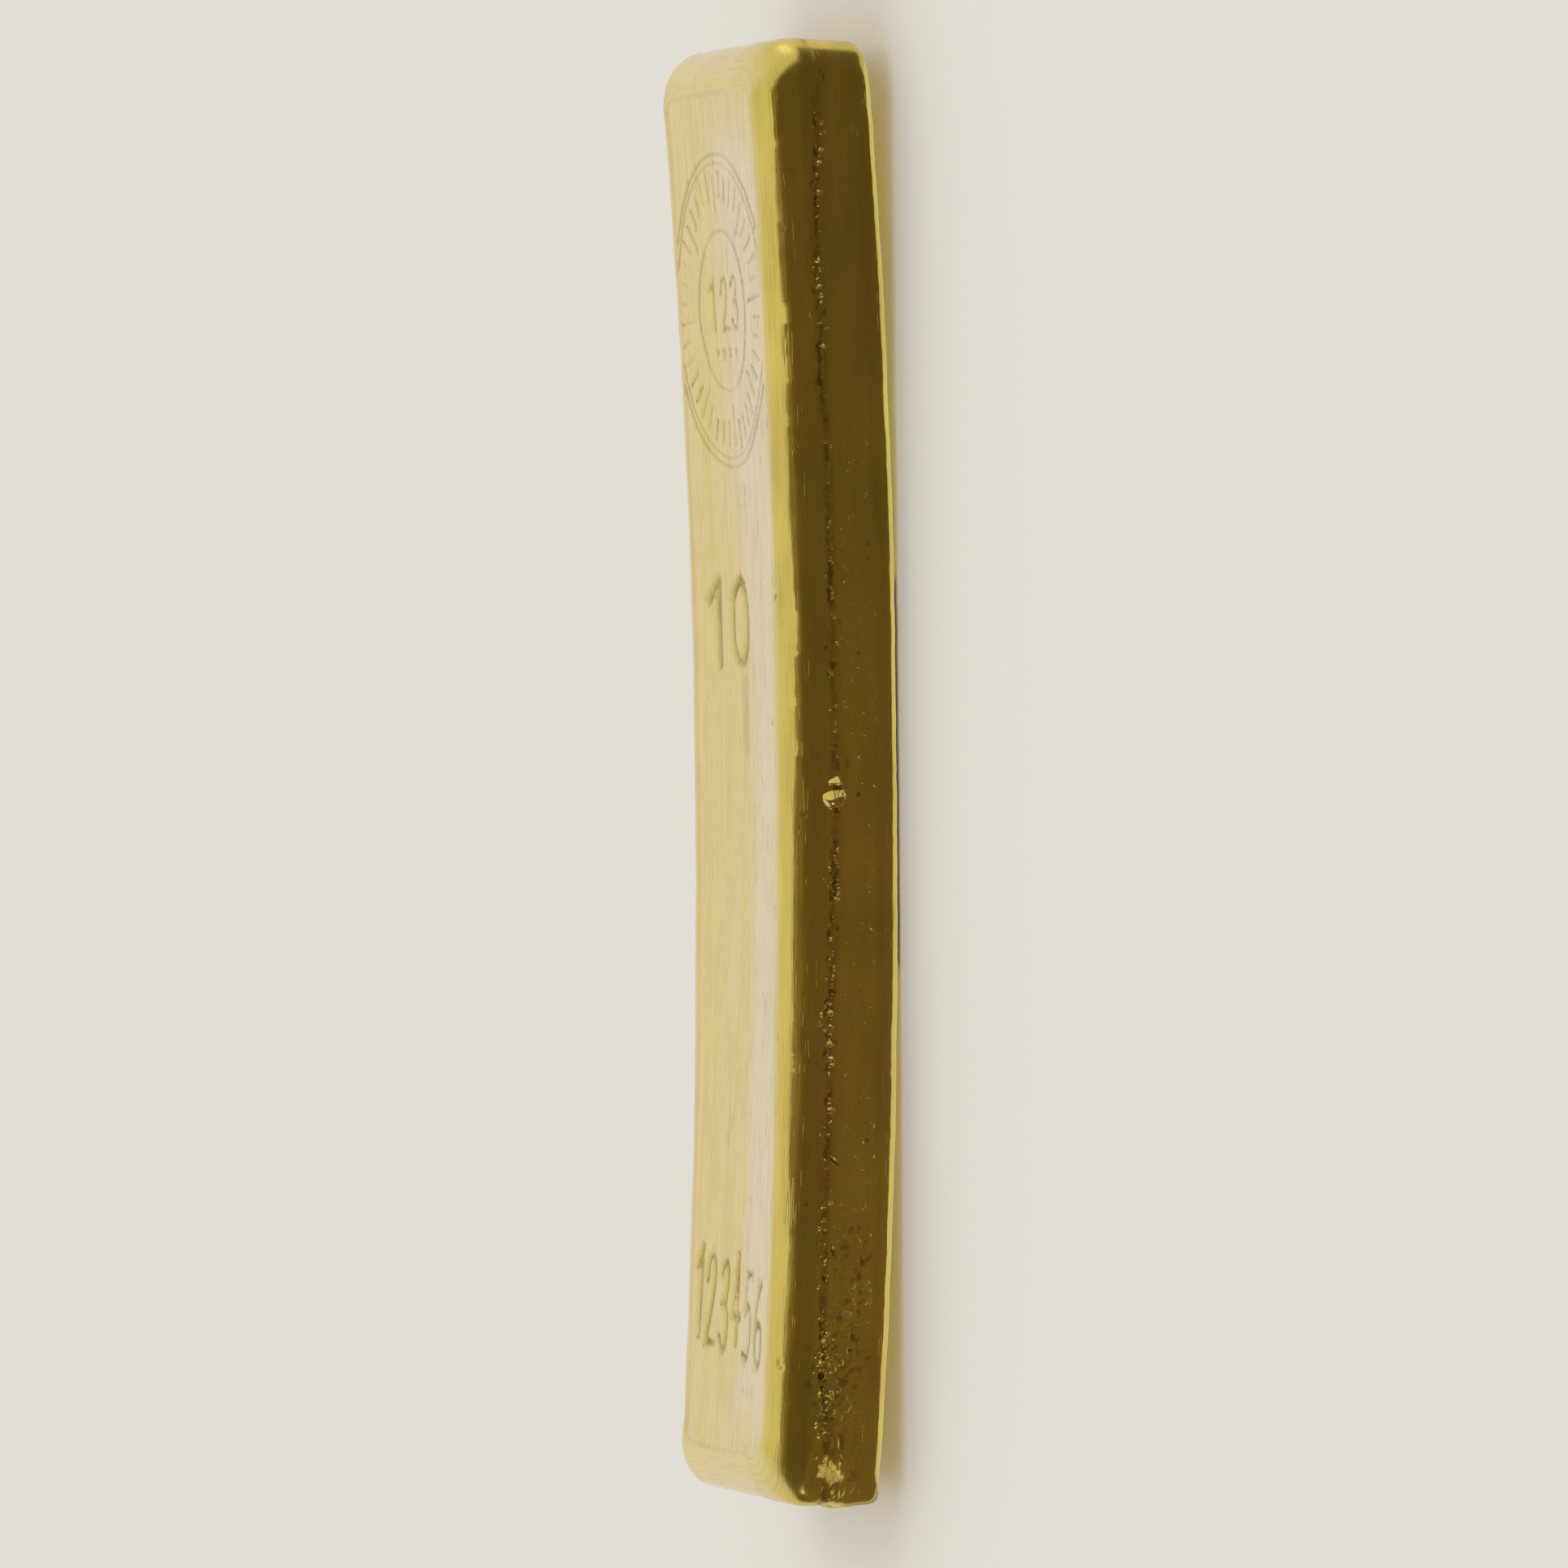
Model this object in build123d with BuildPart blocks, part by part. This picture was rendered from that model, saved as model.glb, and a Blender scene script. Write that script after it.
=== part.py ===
from build123d import *

import os
from math import asin, degrees, radians, sqrt, tan

# Cast metal ingot, lying on its back with the stamped face up. Its length runs
# along X, with the pour end at -X and the stamp end at +X. The near side is -Y.
# All sizes are in millimetres, and angles in degrees.

# Outline of the bar at the casting line
length = 161.0
stamp_end_width = 42.8
pour_end_width = 39.2
pour_end_shift = 0.9
corner_radius = 4.6
pour_corner_radius = 2.6

# Section of the bar
thickness = 12.8
line_height = 7.8
mould_draft = 3.0
back_fillet = 2.0

# Bow: how far the ends stand above the middle, and the worn flat of the back
bow_rise = 2.9
rest_flat = 16.0

# Shrinkage dish in the front face, and the rim left outside it
dish_depth = 0.9
dish_rim = 6.2
dish_overrun = 1.5

# Casting line, where the skin of the metal met the wall of the mould
line_width = 0.9
line_depth = 0.3

# Bead on the near casting line, off the middle towards the pour end
bead_diameter = 2.6
bead_offset = 2.2
bead_sink = 0.35

# Stub of the pour, hammered flat low on the pour end, beside its near corner
stub_width = 6.0
stub_height = 2.6
stub_reach = 0.7
stub_from_side = 2.8
stub_above_back = 3.5
stub_corner_radius = 0.8
stub_edge_radius = 0.5

# How far the working solids reach past the casting
spare = 6.0

# Places that follow from the sizes above. The middle of the pour end lies a
# little nearer than the middle of the stamp end.
near_pour_corner = (-length / 2, -pour_end_width / 2 - pour_end_shift)
far_pour_corner = (-length / 2, pour_end_width / 2 - pour_end_shift)
near_stamp_corner = (length / 2, -stamp_end_width / 2)
far_stamp_corner = (length / 2, stamp_end_width / 2)
widest = max(stamp_end_width, pour_end_width)
narrowest = min(stamp_end_width, pour_end_width)
meniscus_radius = thickness - line_height
half_reach = length / 2 + spare


def arc_radius(half_chord, rise):
    """Radius of the arc that rises by an amount over half of its chord."""
    return (half_chord**2 + rise**2) / (2 * rise)


bow_radius = arc_radius(length / 2, bow_rise)
back_radius = arc_radius((length - rest_flat) / 2, bow_rise)
back_angle = degrees(asin((half_reach - rest_flat / 2) / back_radius))


def bow(x):
    """Rise of the bowed bar above its middle, at a place along it."""
    return bow_radius - sqrt(bow_radius**2 - x**2)


def near_side(x):
    """Where the near side of the outline runs, at a place along the bar."""
    share = 0.5 + x / length
    return near_pour_corner[1] + (near_stamp_corner[1] - near_pour_corner[1]) * share


def bow_arc(level):
    """Line that follows the bow from end to end, at a level above the back."""
    end_level = level + bow(half_reach)
    return ThreePointArc((-half_reach, end_level), (0, level), (half_reach, end_level))


def mould_walls(inset):
    """Block inside the drafted walls of the mould, set in from them evenly."""
    foot = inset + (line_height + spare) * tan(radians(mould_draft))
    with BuildPart() as block:
        with BuildSketch(Plane.XY.offset(-spare)):
            outline = [near_pour_corner, near_stamp_corner, far_stamp_corner, far_pour_corner]
            Polygon(*outline, align=None)
            fillet(vertices().sort_by_distance(near_pour_corner)[0], pour_corner_radius)
            for corner in outline[1:]:
                fillet(vertices().sort_by_distance(corner)[0], corner_radius)
            offset(amount=-foot)
        extrude(amount=thickness + bow_rise + 2 * spare, taper=-mould_draft)
    return block.part


# Bowed slab: a worn flat and two tangent arcs below, the bowed front above
with BuildPart() as slab:
    with BuildSketch(Plane.XZ):
        with BuildLine():
            flat = Line((-rest_flat / 2, 0), (rest_flat / 2, 0))
            stamp_side = JernArc(flat @ 1, flat % 1, back_radius, back_angle)
            pour_side = mirror(stamp_side, about=Plane.YZ)
            front = bow_arc(thickness)
            Line(pour_side.edge() @ 1, front @ 0)
            Line(stamp_side @ 1, front @ 1)
        make_face()
    extrude(amount=widest, both=True)

# Hollow of the dish: a barrel turned about an axis along the bar, whose long
# arc meets the bowed front at the rim of each end
half_dish_length = length / 2 - dish_rim
half_dish_width = narrowest / 2 - dish_rim
dish_floor = thickness - dish_depth
dish_long_radius = arc_radius(half_dish_length, bow(half_dish_length) + dish_depth)
dish_turn_radius = arc_radius(half_dish_width, dish_depth)
dish_angle = dish_overrun * degrees(asin(half_dish_width / dish_turn_radius))
dish_axis_height = dish_floor + dish_turn_radius
with BuildPart() as dish:
    level = Plane.XZ.shift_origin((0, 0, dish_axis_height))
    with BuildSketch(level.rotated((-dish_angle, 0, 0))):
        with Locations((0, dish_long_radius - dish_turn_radius)):
            Circle(dish_long_radius)
        with Locations((0, -dish_turn_radius)):
            Rectangle(length, dish_turn_radius / 2, align=(Align.CENTER, Align.MIN), mode=Mode.INTERSECT)
    revolve(axis=Axis((0, 0, dish_axis_height), (1, 0, 0)), revolution_arc=2 * dish_angle)

# Groove of the casting line: a narrow bowed band, outside the set-in walls
with BuildPart() as line_groove:
    with BuildSketch(Plane.XZ):
        with BuildLine():
            below = bow_arc(line_height - line_width / 2)
            above = bow_arc(line_height + line_width / 2)
            Line(below @ 0, above @ 0)
            Line(below @ 1, above @ 1)
        make_face()
    extrude(amount=widest, both=True)
    add(mould_walls(line_depth), mode=Mode.SUBTRACT)

# Hammered stub, with its edges beaten round
with BuildPart() as stub:
    stub_side = near_pour_corner[1] + stub_from_side
    with Locations((-length / 2, stub_side, bow_rise + stub_above_back)):
        Box(2 * stub_reach, stub_width, stub_height, align=(Align.CENTER, Align.MIN, Align.CENTER))
    fillet(edges().filter_by(Axis.X), stub_corner_radius)
    fillet(faces().sort_by(Axis.X)[0].edges(), stub_edge_radius)

# Main casting: drafted walls cut to the bowed slab, then rounded
with BuildPart() as ingot:
    add(mould_walls(0))
    add(slab.part, mode=Mode.INTERSECT)
    fillet(faces().sort_by(Axis.Z)[-1].edges(), meniscus_radius)
    fillet(faces().sort_by(Axis.Z)[0].edges().sort_by(Axis.Y)[0], back_fillet)
    add(dish.part, mode=Mode.SUBTRACT)
    add(line_groove.part, mode=Mode.SUBTRACT)
    with Locations((-bead_offset, near_side(-bead_offset) + bead_sink, line_height + bow(bead_offset))):
        Sphere(bead_diameter / 2, rotation=(90, 0, 0))
    add(stub.part)

ingot.part.label = "ingot"
os.makedirs("parts", exist_ok=True)
export_step(ingot.part, "parts/ingot.step")
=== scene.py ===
"""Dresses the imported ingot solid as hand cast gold, lying on a pale studio floor.

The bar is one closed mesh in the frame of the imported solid. Its length runs along
X, the stamped face is up, and the near side, which the camera looks at, is -Y.
Shapes are worked out in millimetres and handed to Blender in metres.
"""

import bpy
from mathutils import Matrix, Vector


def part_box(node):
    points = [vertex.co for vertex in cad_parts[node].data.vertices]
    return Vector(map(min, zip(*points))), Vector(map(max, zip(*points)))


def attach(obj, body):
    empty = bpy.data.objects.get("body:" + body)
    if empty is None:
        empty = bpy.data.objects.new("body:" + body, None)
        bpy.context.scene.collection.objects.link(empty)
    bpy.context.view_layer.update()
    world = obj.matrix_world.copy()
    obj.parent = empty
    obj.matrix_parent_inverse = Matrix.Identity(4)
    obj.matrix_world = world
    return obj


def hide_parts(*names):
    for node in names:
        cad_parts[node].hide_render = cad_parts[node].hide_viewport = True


bl_info = {
    "name": "Cast Ingot",
    "version": (1, 0, 0),
    "blender": (4, 5, 0),
    "location": "3D View > Sidebar > Ingot",
    "description": "Dresses a packed ingot solid as hand cast gold on a pale studio floor",
    "category": "Object",
}

from math import cos, hypot, pi, radians, sin, tan

import bpy
import numpy as np
from bpy.props import FloatProperty, FloatVectorProperty, IntProperty, PointerProperty
from mathutils import Matrix, Vector, geometry, noise

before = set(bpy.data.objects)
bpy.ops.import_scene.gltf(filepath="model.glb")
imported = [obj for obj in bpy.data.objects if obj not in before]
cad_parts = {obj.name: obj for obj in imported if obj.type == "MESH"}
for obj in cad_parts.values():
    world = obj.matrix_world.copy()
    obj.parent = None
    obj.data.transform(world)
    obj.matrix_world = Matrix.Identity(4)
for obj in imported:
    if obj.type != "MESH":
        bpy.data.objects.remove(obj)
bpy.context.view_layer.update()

MM = 0.001


# Settings


def millimetres(name, value, about):
    """A length setting, held in metres and given here in millimetres."""
    return FloatProperty(name=name, description=about, default=value * MM, subtype="DISTANCE", unit="LENGTH")


def colour(name, value, about):
    """A colour setting, in linear red, green and blue."""
    return FloatVectorProperty(
        name=name, description=about, default=value, subtype="COLOR", min=0, max=1, size=3
    )


class IngotForm(bpy.types.PropertyGroup):
    """Sizes of the cast bar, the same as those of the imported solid."""

    length: millimetres("Length", 161.0, "Length of the bar at the casting line")
    stamp_end_width: millimetres("Stamp end width", 42.8, "Width at the end with the round stamp")
    pour_end_width: millimetres("Pour end width", 39.2, "Width at the end where the metal was poured")
    pour_end_shift: millimetres("Pour end shift", 0.9, "How far the pour end lies towards the near side")
    corner_radius: millimetres("Corner radius", 4.6, "Radius of three of the corners, seen from above")
    pour_corner_radius: millimetres("Pour corner radius", 2.6, "Radius of the near corner of the pour end")
    thickness: millimetres("Thickness", 12.8, "Thickness of the bar at its middle")
    line_height: millimetres("Line height", 7.8, "Height of the casting line above the back")
    back_edge: millimetres("Back edge", 1.1, "Rounding of the beaten edge between the walls and the back")
    bow_rise: millimetres("Bow", 2.9, "How far the ends stand above the middle")
    rest_flat: millimetres("Worn flat", 16.0, "Length of the worn flat in the middle of the back")
    dish_depth: millimetres("Dish depth", 0.9, "Depth of the shrinkage dish in the face")
    dish_rim: millimetres("Dish rim", 6.2, "Width of the rim left round the dish")


class IngotMarks(bpy.types.PropertyGroup):
    """Sizes of the punched marks in the face."""

    ring_radius: millimetres("Ring radius", 17.4, "Radius of the outer line of the round stamp")
    number_height: millimetres("Number height", 9.6, "Height of the punched numbers")
    punch_depth: millimetres("Punch depth", 0.26, "Depth of the punched marks")
    seed: IntProperty(name="Seed", description="Seed of the pits, crumbs and nicks", default=11)


class GoldFinish(bpy.types.PropertyGroup):
    """Colours of the metal."""

    face: colour("Face", (0.93, 0.765, 0.36), "Wiped metal of the face")
    skin: colour("Skin", (0.82, 0.635, 0.165), "Metal of the rim, the walls and the back")
    grime: colour("Grime", (0.20, 0.11, 0.04), "Dirt held in the pits and the casting line")


class StudioSetup(bpy.types.PropertyGroup):
    """The floor, the light and the camera."""

    floor: colour("Floor", (0.775, 0.737, 0.672), "Pale paper under and behind the bar")
    # Glowing cards seen only in mirrors paint dark reflections into the near side, in these colours
    flag: colour("Flag", (0.142, 0.097, 0.045), "Dark cards that the near side mirrors")
    upper_dark_reflection: colour("Upper dark reflection", (0.232, 0.169, 0.072), "Upper strip of the tall card")
    elevation: FloatProperty(
        name="Elevation", description="Height angle of the camera", default=radians(16.562), subtype="ANGLE"
    )
    distance: millimetres("Distance", 1318.0, "From the bar to the camera")


# Shape of the bar


def arc_radius(half_chord, rise):
    """Radius of the arc that rises by an amount over half of its chord."""
    return (half_chord**2 + rise**2) / (2 * rise)


def smooth(edge, full, value):
    """Rises smoothly from 0 at one value to 1 at another."""
    t = np.clip((value - edge) / (full - edge), 0, 1)
    return t * t * (3 - 2 * t)


def bell(value, width):
    """Falls from 1 at zero towards 0, softly, over about a width."""
    return np.exp(-((value / width) ** 2))


class Bar:
    """The plain surface of the bar in millimetres, as functions of place."""

    DRAFT = radians(3.0)
    INNER_CORNER = 2.6
    DISH_BLEND = 0.9
    DISH_END = 79

    def __init__(self, form):
        for name in form.__annotations__:
            setattr(self, name, getattr(form, name) / MM)
        self.meniscus = self.thickness - self.line_height
        self.bow_radius = arc_radius(self.length / 2, self.bow_rise)
        self.back_radius = arc_radius((self.length - self.rest_flat) / 2, self.bow_rise)
        half_length = self.length / 2 - self.dish_rim
        half_width = self.pour_end_width / 2 - self.dish_rim
        self.dish_long = arc_radius(half_length, self.bow(half_length) + self.dish_depth)
        self.dish_turn = arc_radius(half_width, self.dish_depth)

    def bow(self, x):
        return self.bow_radius - np.sqrt(self.bow_radius**2 - np.square(x))

    def back(self, x):
        reach = np.maximum(np.abs(x) - self.rest_flat / 2, 0)
        return self.back_radius - np.sqrt(self.back_radius**2 - reach**2)

    def spread(self, x):
        """Half of the width at a place along the bar, over half of the middle width."""
        middle = (self.stamp_end_width + self.pour_end_width) / 2
        return 1 + (self.stamp_end_width - self.pour_end_width) / middle * x / self.length

    def middle(self, x):
        """Where the middle of the width runs, at a place along the bar."""
        return -self.pour_end_shift * (0.5 - x / self.length)

    def face(self, x, y):
        """Height of the face: the bowed front, or the floor of the dish where that is lower."""
        front = self.thickness + self.bow(x)
        along = np.clip(x, -self.DISH_END, self.DISH_END)
        rise = self.dish_long - np.sqrt(self.dish_long**2 - np.square(along))
        turn = np.maximum((self.dish_turn - rise) ** 2 - np.square(y), 0)
        dish = self.thickness - self.dish_depth + self.dish_turn - np.sqrt(turn)
        gap = np.clip(0.5 - (dish - front) / self.DISH_BLEND, 0, 1)
        return front + (dish - front) * gap - self.DISH_BLEND / 2 * gap * (1 - gap)


def corner_path(t, radius, reach):
    """Path round a corner at the origin, from (-reach, 0) to (0, reach), at shares t of its length."""
    straight = reach - radius
    arc = radius * pi / 2
    along = t * (2 * straight + arc)
    turn = np.clip((along - straight) / radius, 0, pi / 2)
    before = np.minimum(along, straight)
    after = np.maximum(along - straight - arc, 0)
    p = -reach + before + radius * np.sin(turn)
    q = radius * (1 - np.cos(turn)) + after
    return p, q


class Columns:
    """Points round the bar at the casting line, each with the point inside the meniscus that faces it."""

    CORNER = 24
    MORE_ROUND = 2.4

    def __init__(self, bar):
        half_x, half_y = bar.length / 2, (bar.stamp_end_width + bar.pour_end_width) / 4
        inset = bar.meniscus
        reach = inset + bar.INNER_CORNER
        outer, inner = [], []
        # Points along a side, the corner at its end, and the radius of that corner
        sides = (
            (1120, (half_x, -half_y), bar.corner_radius),
            (56, (half_x, half_y), bar.corner_radius + self.MORE_ROUND),
            (340, (-half_x, half_y), bar.corner_radius),
            (56, (-half_x, -half_y), bar.pour_corner_radius),
        )
        headings = np.array([(1, 0), (0, 1), (-1, 0), (0, -1), (1, 0)])
        for (count, corner, radius), ahead, turned in zip(sides, headings[:-1], headings[1:]):
            corner = np.array(corner)
            span = 2 * (corner @ ahead)
            t = np.arange(count)[:, None] / count
            run = corner - ahead * (span - reach) + ahead * (span - 2 * reach) * t
            outer.append(run)
            inner.append(run + turned * inset)
            t = np.arange(self.CORNER) / self.CORNER
            p, q = corner_path(t, radius, reach)
            outer.append(corner + p[:, None] * ahead + q[:, None] * turned)
            p, q = corner_path(t, bar.INNER_CORNER, bar.INNER_CORNER)
            inside = corner + inset * (turned - ahead)
            inner.append(inside + p[:, None] * ahead + q[:, None] * turned)
        self.outer, self.inner = np.vstack(outer), np.vstack(inner)
        for loop in (self.outer, self.inner):
            loop[:, 1] = loop[:, 1] * bar.spread(loop[:, 0]) + bar.middle(loop[:, 0])
        step = np.linalg.norm(np.roll(self.outer, -1, 0) - self.outer, axis=1)
        around = np.concatenate([[0], np.cumsum(step)])
        self.girth = around[-1]
        around = around[:-1] + self.outer[0, 0]
        self.around = np.where(around > self.girth / 2, around - self.girth, around)
        self.inward = (self.inner - self.outer) / inset


# Cast detail


def lumps(points, size, seed):
    """Smooth noise in space from -1 to 1, with lumps of about the given size."""
    shift = Vector((seed * 17.3, seed * 5.1, seed * 9.7))
    return np.array([noise.noise(Vector(p) / size + shift) for p in points.tolist()])


def waves(points, *layers):
    """Sum of layers of noise, each given as its amount, size and seed."""
    return sum(amount * lumps(points, size, seed) for amount, size, seed in layers)


# Height of the casting line: place round the bar, and height
LINE_HEIGHTS = (
    (-90, -0.5), (-82, -1.2), (-77, -1.7), (-72, -0.9), (-66.6, -0.18), (-49, 0.3), (-40, 0.12),
    (-27, 0.21), (-13, -0.23), (4.6, -0.32), (18, -0.11), (31, -0.24), (44.6, -0.07), (58, -0.15),
    (66, -0.6), (71, -1.05), (78, -1.35), (88, -0.5), (100, 0),
)

# Where the rim turns into the wall: place round the bar, and height
RIM_TURNS = (
    (-90, 4.08), (-61, 4.14), (-56, 3.99), (-47, 4.05), (-43, 4.5), (-40, 4.61), (-34.6, 4.54), (-29, 4.34),
    (-18.5, 4.5), (-13, 4.42), (-2.5, 4.4), (2.8, 3.95), (8.2, 4.05), (11, 4), (20, 4), (24, 4.05),
    (29.5, 4.27), (43, 4), (48, 3.9), (56, 4.21), (67, 3.86), (72, 3.66), (77, 3.8), (90, 4.08),
)
RIM_LEVEL = 4.08


def line_height(place):
    """Height of the middle of the casting line, at a place round the bar."""
    return np.interp(place, *zip(*LINE_HEIGHTS), 0.0, 0.0)


class CastingLine:
    """The line where the skin of the metal met the mould: its height and its ragged groove."""

    def __init__(self, columns, seed):
        self.seed, self.girth = seed, columns.girth
        self.centre = line_height(columns.around)

    def wander(self, around, size, seed):
        """Smooth wander from -1 to 1 round the bar, in cells of about one size that fit it exactly."""
        period = round(self.girth / size)
        values = np.random.default_rng(self.seed + seed).uniform(-1, 1, period)
        t = around / self.girth * period
        cell = np.floor(t).astype(int)
        part = t - cell
        part = part * part * (3 - 2 * part)
        return values[cell % period] * (1 - part) + values[(cell + 1) % period] * part

    def groove(self, around, off):
        """Depth of the ragged groove, at a place round the bar and a height off the line."""
        off = off - 0.18 * self.wander(around, 5.0, 1) - 0.18 * self.wander(around, 1.1, 2)
        half = 0.38 + 0.14 * self.wander(around, 2.3, 3) + 0.12 * self.wander(around, 0.7, 4)
        gaps = smooth(-0.6, 0.2, self.wander(around, 1.6, 8) + 0.6 * self.wander(around, 0.55, 9))
        deep = gaps * (0.12 + 0.06 * self.wander(around, 3.1, 5) + 0.06 * self.wander(around, 0.9, 6))
        fade = 1 - 0.75 * smooth(66, 73, around) * (1 - smooth(84, 92, around))
        lip = 0.05 * bell(off + 0.5, 0.2) * (1 + 1.6 * self.wander(around, 0.8, 7))
        return (deep * bell(off, np.maximum(half, 0.1)) - lip) * fade


def scatter(rng, spans, count):
    """Places along the near side, drawn from weighted spans of it."""
    weights = np.array([w for _, _, w in spans], float)
    picks = rng.choice(len(spans), count, p=weights / weights.sum())
    return np.array([rng.uniform(spans[k][0], spans[k][1]) for k in picks])


def blob(du, dv, long, wide, angle):
    """Rounded hump from 1 at its middle to 0 at its edge, longer along its angle."""
    c, s = cos(angle), sin(angle)
    r = ((du * c + dv * s) / long) ** 2 + ((dv * c - du * s) / wide) ** 2
    return np.clip(1 - r, 0, 1) ** 1.5


class Details:
    """Humps and hollows laid on the wrapped strip, by place round the bar and height off the line."""

    def __init__(self, around, height):
        self.around, self.height = around, height
        self.relief = np.zeros_like(around)
        self.dirt = np.zeros_like(around)
        self.polished = np.zeros_like(around)
        self.order = np.argsort(around)
        self.sorted = around[self.order]

    def near(self, place, reach):
        low, high = np.searchsorted(self.sorted, (place - reach, place + reach))
        return self.order[low:high]

    def add(self, place, height, long, wide, amount, angle=0.0, dirt=0.0):
        at = self.near(place, max(long, wide))
        shape = blob(self.around[at] - place, self.height[at] - height, long, wide, angle)
        self.relief[at] += amount * shape
        self.dirt[at] = np.maximum(self.dirt[at], dirt * np.sqrt(shape))

    def tick(self, place, height, long, wide, angle=0.0, lift=0.36):
        """A short raised bar across the line, highest at its lower end, so that it looks up."""
        at = self.near(place, long + wide)
        du, dv = self.around[at] - place, self.height[at] - height
        c, s = cos(angle), sin(angle)
        across, along = du * c + dv * s, dv * c - du * s
        ridge = np.clip(1 - (across / wide) ** 2, 0, 1) * (np.abs(along) < long)
        self.relief[at] += ridge * lift * (long - along)

    def flat(self, place, height, long, wide, amount):
        """A beaten flat: long and square across its ends, rounded over its height."""
        at = self.near(place, long * 1.1)
        across = np.clip(1 - ((self.height[at] - height) / wide) ** 2, 0, 1)
        ends = 1 - smooth(0.86, 1.06, np.abs(self.around[at] - place) / long)
        self.relief[at] += amount * across * ends


# How busy the casting line is: from, to, and weight
BUSY_SPANS = (
    (-78, -70, 2.2), (-70, -60, 1.6), (-60, -40, 0.8), (-40, -31, 0.9), (-31, -22, 1.9), (-22, -14, 0.7),
    (-14, -8.5, 2), (-8, 10, 0.7), (10, 30, 1.1), (30, 60, 1.5), (60, 74, 1.2), (85, 190, 2.5),
    (-190, -85, 2.5),
)

# Single ticks: place, height, and length
TICKS = (
    (14.1, -0.75, 0.42), (11, -0.1, 0.45), (7.2, -0.5, 0.28), (6.7, 0.1, 0.36), (5.4, -0.65, 0.55),
    (-4.6, -0.24, 0.5), (22.6, 0, 0.4), (31.8, -0.2, 0.4), (41, 0.1, 0.35), (49.3, -0.1, 0.4),
    (56, -0.1, 0.4), (-9.8, -0.3, 0.3), (-18.3, 0.2, 0.4), (-20, 0.1, 0.4), (-23.6, 0.2, 0.5),
    (-24.3, 0.1, 0.55), (-25.7, 0.3, 0.3), (-26.4, 0.1, 0.45), (-28.8, 0.2, 0.4), (-29.7, 0.2, 0.35),
    (-31.5, 0.15, 0.5), (-32.2, 0.1, 0.5), (-36.4, 0.1, 0.45), (-47.6, 0.5, 0.4), (-49, 0.4, 0.45),
    (-50, 0.9, 0.35), (-64.9, 0.1, 0.6), (-65.4, -0.1, 0.4), (-70.5, -0.4, 0.5), (71.2, -1.55, 0.35),
    (70, -1.75, 0.4), (68.1, -1.1, 0.4), (66.7, -0.8, 0.4), (65.3, -0.6, 0.4), (63.5, -0.9, 0.45),
    (60.7, -0.3, 0.4), (55.2, 0.3, 0.3), (53.2, -0.1, 0.45), (46.6, -0.2, 0.4), (36.2, -0.1, 0.4),
    (27.4, -0.2, 0.35),
)


def line_details(details, rng):
    """Pits, crumbs and cross ticks along the casting line."""
    pits, grains, bars, stretch = 260, 480, 170, 2.4
    for place in scatter(rng, BUSY_SPANS, pits):
        height = line_height(place) + rng.normal(0, 0.26)
        size = rng.uniform(0.16, 0.36)
        details.add(
            place, height, size * rng.uniform(1, stretch), size, -rng.uniform(0.06, 0.2),
            rng.normal(0, 0.5), rng.uniform(0.3, 1.0),
        )
    for place in scatter(rng, BUSY_SPANS, grains):
        height = line_height(place) + rng.normal(0.05, 0.45)
        size = rng.uniform(0.15, 0.26)
        details.add(
            place, height, size * rng.uniform(1, stretch), size, rng.uniform(0.05, 0.16),
            rng.uniform(-1.5, 1.5),
        )
    for place in scatter(rng, BUSY_SPANS, bars):
        height = line_height(place) + rng.normal(0, 0.28)
        details.tick(place, height, rng.uniform(0.15, 0.4), rng.uniform(0.16, 0.22), rng.normal(0, 0.3))
    for place, height, long in TICKS:
        details.tick(place, height, long, 0.2, rng.normal(0, 0.08))


# Flats of the rim: place, length, and depth
RIM_FLATS = (
    (15.4, 2.5, 0.075), (18.95, 1, 0.035), (50.4, 1, 0.07), (44.4, 1.5, 0.05), (38.7, 0.7, 0.04),
    (2.7, 0.8, 0.05), (8, 0.6, 0.03), (-31.8, 0.9, 0.05), (-52, 1.2, 0.03), (61.5, 1.1, 0.03),
)

# Nicks and dark pits: place, height, length, width, depth, and angle
NICKS = (
    (19.2, 7, 0.5, 0.2, 0.16, 0.2), (-64.8, 5, 0.55, 0.18, 0.2, 0.1), (-65.4, 4.6, 0.35, 0.18, 0.18, 1.2),
    (73.6, -3.87, 0.34, 0.24, 0.22, 0.6), (76.2, -2.28, 0.26, 0.2, 0.16, 0.3),
    (76.9, -1.96, 0.22, 0.18, 0.16, 0), (-2.5, -3.09, 0.36, 0.26, 0.2, 0.2),
    (-66.3, -0.07, 0.62, 0.5, 0.45, 0.4), (-77.7, -4.3, 0.75, 0.55, 0.5, 0.3),
    (-4.6, 3.1, 0.3, 0.2, 0.12, 0.5), (25, -4.6, 0.25, 0.2, 0.12, 0.5), (13, -3.3, 0.2, 0.2, 0.1, 0),
    (-40.5, -4.4, 0.3, 0.22, 0.16, 0.3), (-47.4, 2.3, 0.2, 0.2, 0.1, 0), (66, 1.9, 0.2, 0.2, 0.08, 0),
    (-53.8, -4.3, 0.7, 0.26, 0.25, 0.1), (-55.4, -4, 0.6, 0.24, 0.22, 0.2),
    (-57.2, -4.2, 0.3, 0.2, 0.18, 0.2), (-62, -3.5, 0.8, 0.26, 0.25, 0.1),
    (-63.5, -3.3, 0.4, 0.24, 0.22, 0), (-52.6, -0.9, 0.9, 0.28, 0.28, 0.4),
    (-55.6, -0.2, 0.6, 0.28, 0.24, 0.2), (-59.1, 0.2, 0.5, 0.28, 0.22, 0),
    (-42.6, -0.6, 0.95, 0.22, 0.32, 0.8), (71.3, -0.9, 1.3, 0.24, 0.16, 0.05), (68, -0.7, 1, 0.24, 0.16, 0),
    (63, -0.5, 1.2, 0.28, 0.2, 0),
)

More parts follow.
